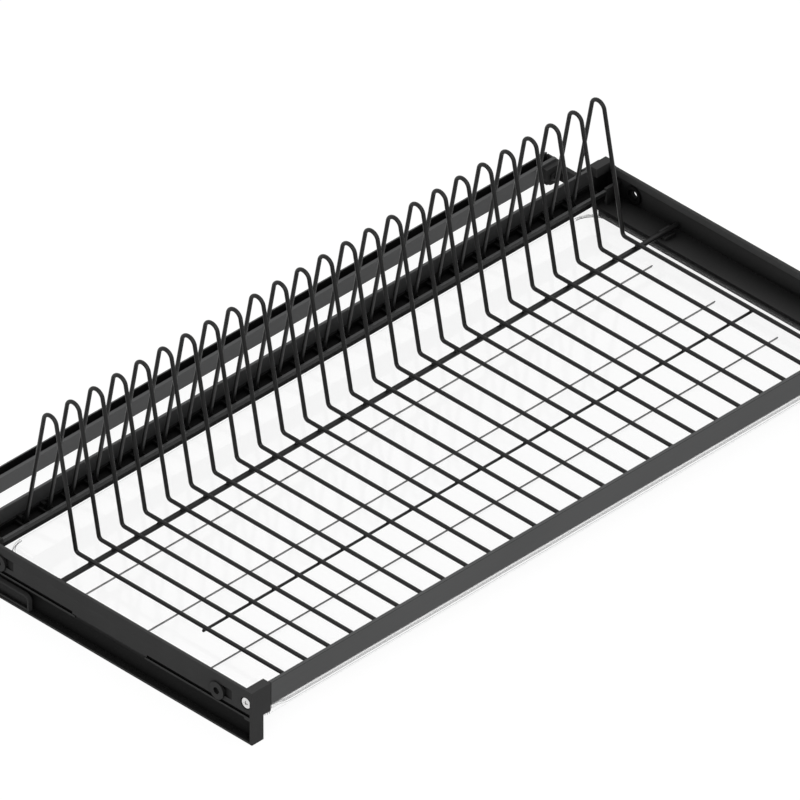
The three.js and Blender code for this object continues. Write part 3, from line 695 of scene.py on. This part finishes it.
def make_screws():
    for side, way in (("left", -1), ("right", 1)):
        for end in ("front", "rear"):
            screw(f"{end}_bar_screw_{side}_bright", f"{end}_bar_screw_{side}", "frame",
                  (way, 0, 0), BAR_SCREW)
        clamp = screw(f"clamp_screw_{side}_bright", f"arm_clamp_screw_{side}", "frame",
                      (way, 0, 0), CLAMP_SCREW)
        low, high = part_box(f"arm_clamp_screw_{side}")
        shank_end = max(abs(low[0]), abs(high[0])) / MM - CLAMP_NECK
        # The shank beyond the head is painted dark, as shade.
        paint_light_and_shade(clamp, BLACK_STEEL_AND_PAINTED_SHADE, [region(x=(-math.inf, shank_end))], way)
        screw(f"rail_screw_{side}_bright", f"rail_screw_{side}", "rail",
              (0, -1, 0), RAIL_SCREW, BLACK_STEEL_AND_PAINTED_SHADE)


# ---------------------------------------------------------------- frame, rail and tray

def make_frame():
    for way, side in ((-1, "left"), (1, "right")):
        panel = dressed(f"panel_{side}", f"side_panel_{side}", "frame",
                        PLASTIC, PLASTIC_EDGE)
        for material, regions in PANEL_PAINTED_LIGHT:
            paint_light_and_shade(panel, material, regions, way)
        dressed(f"arm_{side}", f"rail_arm_{side}", "rail", ARM_PLASTIC, ARM_EDGE)
    front = dressed("front_section", "front_profile", "frame",
                    ALUMINIUM, FRONT_EDGE)
    # The front bar's rounded edges take painted shade.
    front.data.materials.append(PAINTED_SHADE_METAL)
    front.modifiers["edges"].material = EDGE_SLOT
    rear = dressed("rear_section", "rear_bar", "frame", ALUMINIUM, METAL_EDGE)
    for material, regions in REAR_PAINTED_SHADE:
        paint_light_and_shade(rear, material, regions)
    dressed("rail_section", "rear_rail", "rail", ALUMINIUM, METAL_EDGE)
    dressed("sockets", "socket_strip", "frame", STRIP_PLASTIC, STRIP_EDGE)


def narrow_ribs(mesh):
    rows = {}
    for vertex in mesh.vertices:
        if abs(vertex.co.z / MM - RIB_TOP) < LEVEL_GAP:
            rows.setdefault(round(vertex.co.y / MM / RIB_ROW), []).append(vertex.co.y)
    for row in rows.values():
        middle = (min(row) + max(row)) / 2
        for vertex in mesh.vertices:
            level = TRAY_FLOOR - LEVEL_GAP < vertex.co.z / MM < RIB_TOP + LEVEL_GAP
            if level and abs(vertex.co.y - middle) < RIB_ZONE * MM:
                vertex.co.y = middle + (vertex.co.y - middle) * RIB_SHARE


def make_tray():
    """The clear tray: its rim's edges and its ribs drawn as painted dark lines, its side rim's top
    given a painted sheen; the rest is hardly seen.
    """
    tray = dressed("tray_clear", "drip_tray", "tray", CLEAR, PLASTIC_EDGE)
    mesh = tray.data
    mesh.materials.append(CLEAR_EDGE_PAINTED_SHADE)
    mesh.materials.append(CLEAR_RIM_PAINTED_SHEEN)
    narrow_ribs(mesh)
    side_start = max(v.co.x for v in mesh.vertices) - SIDE_RIM * MM
    for face in mesh.polygons:
        face.use_smooth = False
        centre = face.center
        if TRAY_FLOOR + LEVEL_GAP < centre.z / MM < RIB_TOP + LEVEL_GAP:
            face.material_index = EDGE_SLOT
        if centre.z > RIM_LOW * MM and abs(centre.x) > side_start and face.normal.z > 0.5:
            face.material_index = RIM_SLOT
    rounded = mesh.attributes.new("bevel_weight_edge", "FLOAT", "EDGE")
    for edge in mesh.edges:
        a, b = (mesh.vertices[i].co for i in edge.vertices)
        on_rim = min(a.z, b.z) > RIM_LOW * MM
        along_rear = (min(a.y, b.y) > 0 and (a - b).length > LONG_EDGE * MM
                      and abs(a.y - b.y) < MM)
        rounded.data[edge.index].value = 1.0 if on_rim and not along_rear else 0.0
    edges = tray.modifiers["edges"]
    edges.harden_normals = False
    edges.limit_method = "WEIGHT"
    edges.material = EDGE_SLOT


make_frame()
make_tray()
make_rack()
make_welds()
make_screws()


# ---------------------------------------------------------------- floor, light and camera

FLOOR_REACH = 30.0      # metres
FLOOR_Z = -0.00005      # metres, just clear of the panels' feet
FLOOR_GLOW = 0.905      # what makes the floor white where it is seen
SKY_STRENGTH = (0.38, 0.76)  # the world's light at the horizon and from straight above

# Each lamp's name, its place and size in metres and its power in watts.
LAMPS = (
    ("key", (-1.35, -1.2, 1.7), 1.4, 17.5),
    ("fill", (1.6, -0.9, 1.3), 1.8, 5.5),
    ("back", (0.2, 1.9, 1.6), 1.6, 3.6),
)

# The camera of the photograph, in degrees and metres. It is far away, so its rays are nearly
# parallel. It looks at AIM, moved in the picture's plane by the two offsets, and sees a strip
# VIEW_WIDTH wide there.
AZIMUTH, ELEVATION = -45.044, 35.373
AIM = Vector((0, -0.027, 0.020))
AIM_RIGHT, AIM_UP = -0.02012, 0.03176
DISTANCE = 22.6
VIEW_WIDTH = 0.49851
SENSOR = 36.0  # millimetres


def floor_material():
    """A pale floor. What sees it directly gets its white, softened where the part shades it."""
    n = material_nodes("pale_floor")
    tone = n.colours(n.noise(n.place(), 3.0, detail=3.0), grey(0.29), grey(0.31))
    plain = n.add("ShaderNodeBsdfDiffuse")
    n.link(tone, plain.inputs["Color"])
    soft = n.add("ShaderNodeBsdfDiffuse")
    soft.inputs["Color"].default_value = (*grey(0.16), 1)
    glow = n.add("ShaderNodeEmission")
    glow.inputs["Strength"].default_value = FLOOR_GLOW
    white = n.add("ShaderNodeAddShader")
    n.link(soft.outputs[0], white.inputs[0])
    n.link(glow.outputs[0], white.inputs[1])
    return n.finish(n.mixed(n.seen(), plain, white))


def make_floor():
    bm = bmesh.new()
    bm.faces.new([bm.verts.new((x * FLOOR_REACH, y * FLOOR_REACH, FLOOR_Z))
                  for x, y in ((-1, -1), (1, -1), (1, 1), (-1, 1))])
    floor = object_from("floor", bm)
    floor.data.materials.append(floor_material())


def make_world():
    """White where it is seen. What it lights gets more from above than from the horizon."""
    n = Nodes(bpy.data.worlds.new("studio"), "ShaderNodeOutputWorld")
    coords = n.add("ShaderNodeTexCoord")
    parts = n.add("ShaderNodeSeparateXYZ")
    n.link(coords.outputs["Generated"], parts.inputs[0])
    light = n.add("ShaderNodeBackground")
    strength = n.spread(parts.outputs["Z"], *SKY_STRENGTH, source=(0.0, 1.0))
    n.link(strength, light.inputs["Strength"])
    white = n.add("ShaderNodeBackground")
    white.inputs["Color"].default_value = (1, 1, 1, 1)
    white.inputs["Strength"].default_value = 1.0
    SCENE.world = n.finish(n.mixed(n.seen(), light, white))


def lamp(name, place, size, power):
    data = bpy.data.lights.new(name, "AREA")
    data.shape = "SQUARE"
    data.size = size
    data.energy = power
    obj = bpy.data.objects.new(name, data)
    obj.location = place
    obj.rotation_mode = "QUATERNION"
    obj.rotation_quaternion = (-Vector(place)).to_track_quat("-Z", "Y")
    SCENE.collection.objects.link(obj)
    obj.visible_camera = False


def make_camera():
    turn, tilt = math.radians(AZIMUTH), math.radians(ELEVATION)
    right = Vector((math.cos(turn), math.sin(turn), 0))
    ahead = Vector((-math.sin(turn) * math.cos(tilt), math.cos(turn) * math.cos(tilt),
                    -math.sin(tilt)))
    up = right.cross(ahead)
    aim = AIM + right * AIM_RIGHT + up * AIM_UP
    data = bpy.data.cameras.new("camera")
    data.sensor_width = SENSOR
    data.lens = SENSOR * DISTANCE / VIEW_WIDTH
    data.clip_start, data.clip_end = 1.0, 100.0
    camera = bpy.data.objects.new("camera", data)
    camera.matrix_world = Matrix.Translation(aim - ahead * DISTANCE) @ Matrix(
        (right, up, -ahead)).transposed().to_4x4()
    SCENE.collection.objects.link(camera)
    SCENE.camera = camera


make_floor()
make_world()
for settings in LAMPS:
    lamp(*settings)
make_camera()
